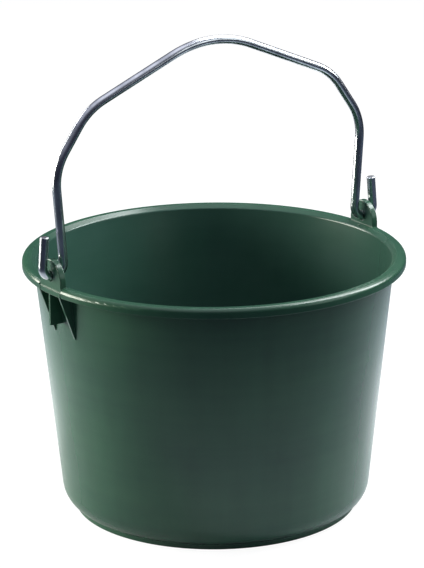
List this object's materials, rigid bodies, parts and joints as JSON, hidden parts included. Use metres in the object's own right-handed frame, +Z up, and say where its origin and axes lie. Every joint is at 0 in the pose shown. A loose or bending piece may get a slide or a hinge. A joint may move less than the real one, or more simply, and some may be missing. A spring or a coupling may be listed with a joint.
{
  "type": "feed bucket",
  "caption": "Round tapered plastic bucket with a flanged rim, moulded ears and a bent-wire bail that swings down to either side.",
  "frame": {"origin": "centre of the foot ring, on the floor", "axes": "+Z up the tub's axis; the ears and the hinge line lie along X; the bail stands upright in the XZ plane at rest"},
  "size_m": [0.3408, 0.323, 0.4057],
  "materials": {
    "green_plastic": "moulded dark green, semi-gloss",
    "plated_wire": "bright zinc-plated drawn wire"
  },
  "bodies": {
    "tub": {"tub": "green_plastic"},
    "bail": {"bail": "plated_wire"}
  },
  "joints": [
    {"name": "bail_swing", "type": "hinge", "parent": "tub", "child": "bail", "pos_m": [0, 0, 0.2272], "axis": [1, 0, 0], "range_deg": [-93, 93]}
  ]
}
